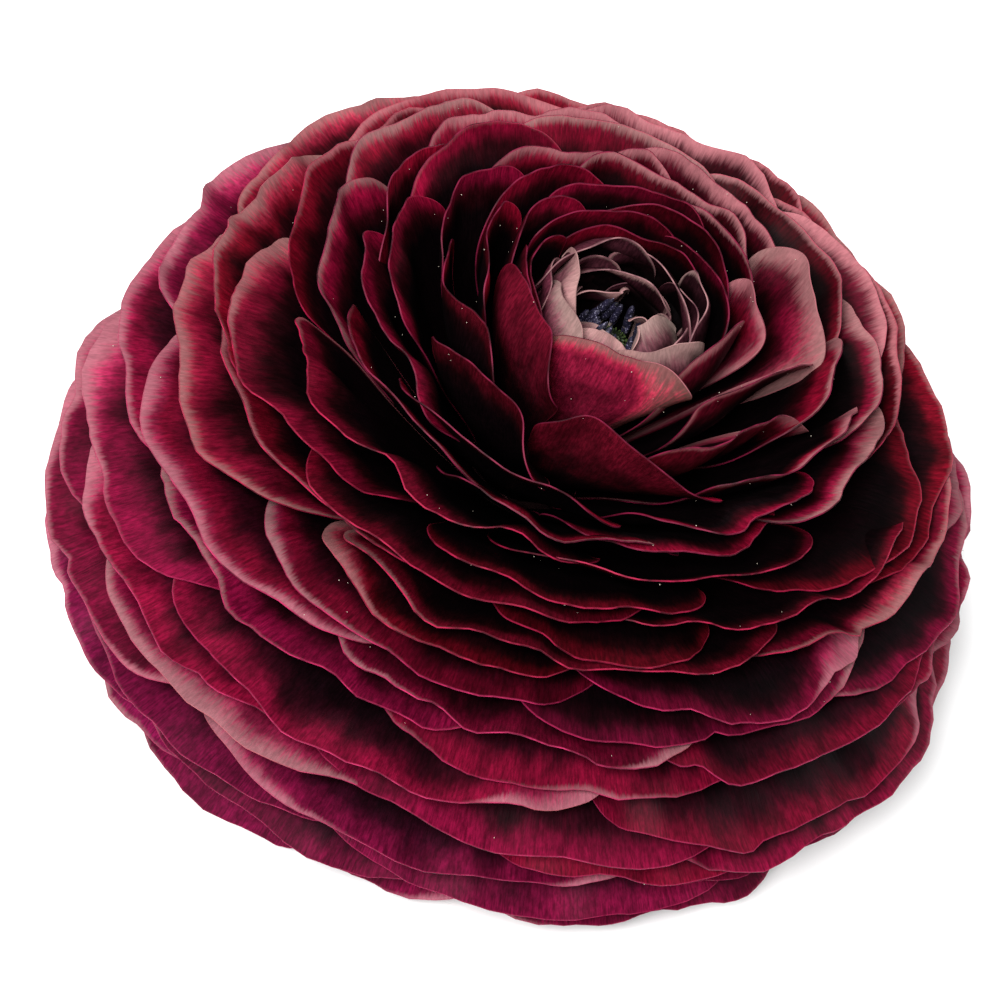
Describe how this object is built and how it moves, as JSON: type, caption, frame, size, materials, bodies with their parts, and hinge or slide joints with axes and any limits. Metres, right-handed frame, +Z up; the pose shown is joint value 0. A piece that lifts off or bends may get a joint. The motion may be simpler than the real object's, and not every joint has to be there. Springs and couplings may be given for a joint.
{
  "type": "ranunculus flower",
  "caption": "Full, many-petalled ranunculus bloom cut just below its head, with nested whorls of thin petals round a small open eye, resting on its lowest petals.",
  "frame": {"origin": "middle of the bloom's bounding box, on the surface that it rests on", "axes": "+Z up along the axis of the stem, out of the eye; -Y towards the viewer of the picture; +X to the right of the picture"},
  "size_m": [0.0878, 0.088, 0.0462],
  "materials": {
    "guard_petal": "magenta crimson petal with a rose pink rim, fine fan veins and a soft satin sheen",
    "outer_petal": "crimson petal with a rose pink rim, fine fan veins and a soft satin sheen",
    "inner_petal": "dark burgundy petal with a thin paler edge and a soft satin sheen",
    "heart_petal": "near black burgundy petal, greyish pink at some tips, with a soft satin sheen",
    "eye_petal": "small greyish pink petal with darker veins, dull and slightly crumpled",
    "stem_green": "pale green stem with fine ribs",
    "sepal_green": "light green sepal with veins and a reddish edge",
    "carpel_green": "dull green carpels with small beaks",
    "anther_dark": "blue black anthers dusted with pollen"
  },
  "bodies": {
    "root": {"guard_petals": "guard_petal", "outer_petals": "outer_petal", "inner_petals": "inner_petal", "heart_petals": "heart_petal", "eye_petals": "eye_petal", "stem": "stem_green", "sepals": "sepal_green", "carpels": "carpel_green", "stamens": "anther_dark"}
  },
  "joints": []
}
